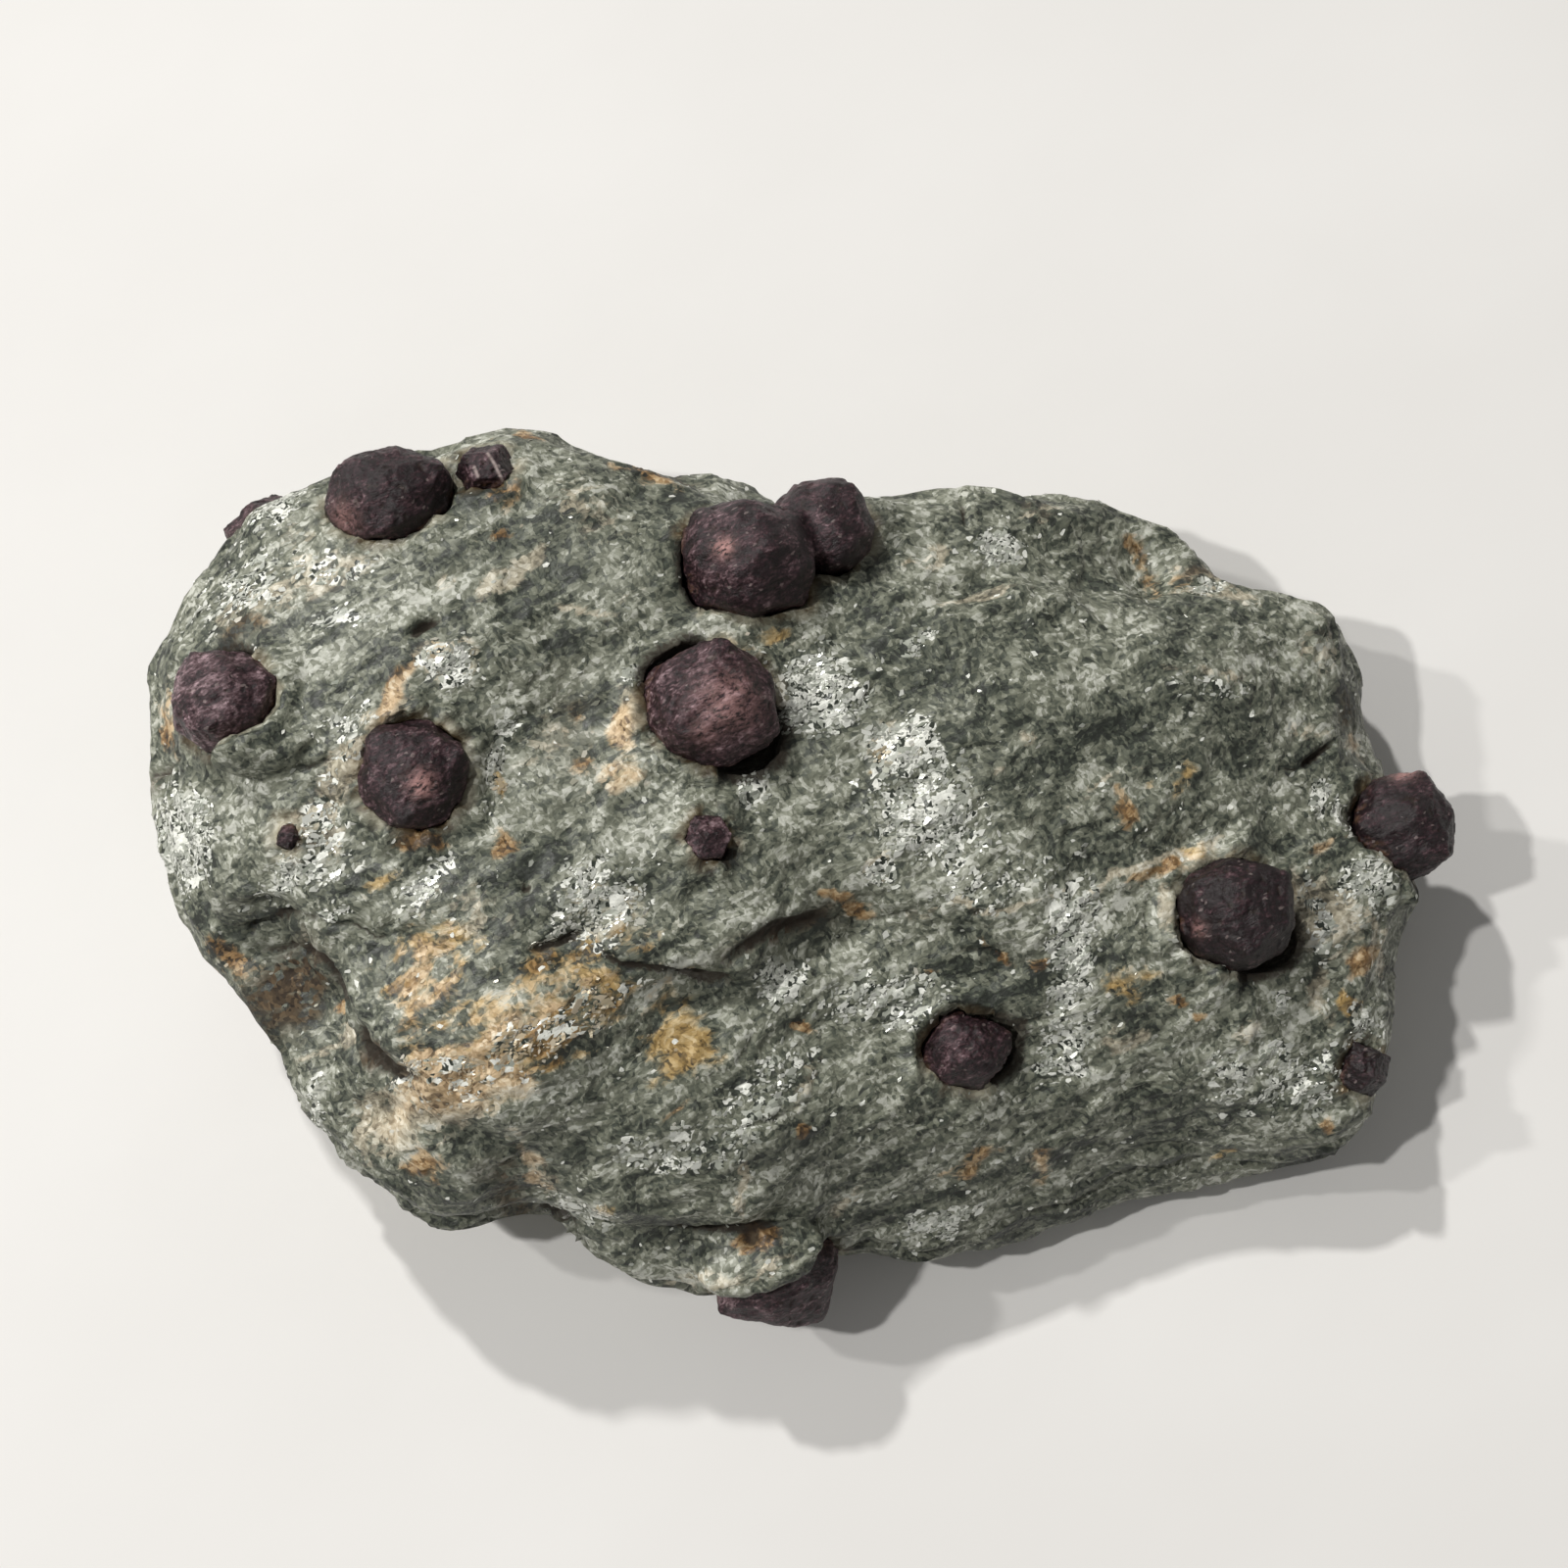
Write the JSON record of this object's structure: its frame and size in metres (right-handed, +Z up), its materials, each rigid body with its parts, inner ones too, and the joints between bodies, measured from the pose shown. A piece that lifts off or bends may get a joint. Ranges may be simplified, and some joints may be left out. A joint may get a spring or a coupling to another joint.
{
  "type": "garnet schist hand specimen",
  "caption": "Slab of green-grey mica and chlorite schist with dark garnet crystals standing in it, lying on a flat cleaved underside.",
  "frame": {"origin": "middle of the specimen's box, on the cleaved face that it lies on", "axes": "+X along the slab towards its right end, +Y across it towards the edge with the grown-together pair of crystals, +Z up through its thickness"},
  "size_m": [0.1364, 0.0924, 0.0435],
  "materials": {
    "schist": "foliated, micaceous, half glossy, with rust and ochre stains",
    "garnet": "dark purple-brown crystal, satin, finely striated and pitted"
  },
  "bodies": {
    "root": {"schist": "schist", "garnet_back_left": "garnet", "garnet_striated": "garnet", "garnet_back_left_sliver": "garnet", "garnet_left_end": "garnet", "garnet_left_centre": "garnet", "garnet_speck": "garnet", "garnet_pair": "garnet", "garnet_centre": "garnet", "garnet_centre_small": "garnet", "garnet_right_end": "garnet", "garnet_right_centre": "garnet", "garnet_front_centre": "garnet", "garnet_front_right_small": "garnet", "garnet_front_edge": "garnet", "garnet_back_side": "garnet", "garnet_back_right_side": "garnet", "garnet_underside": "garnet"}
  },
  "joints": []
}
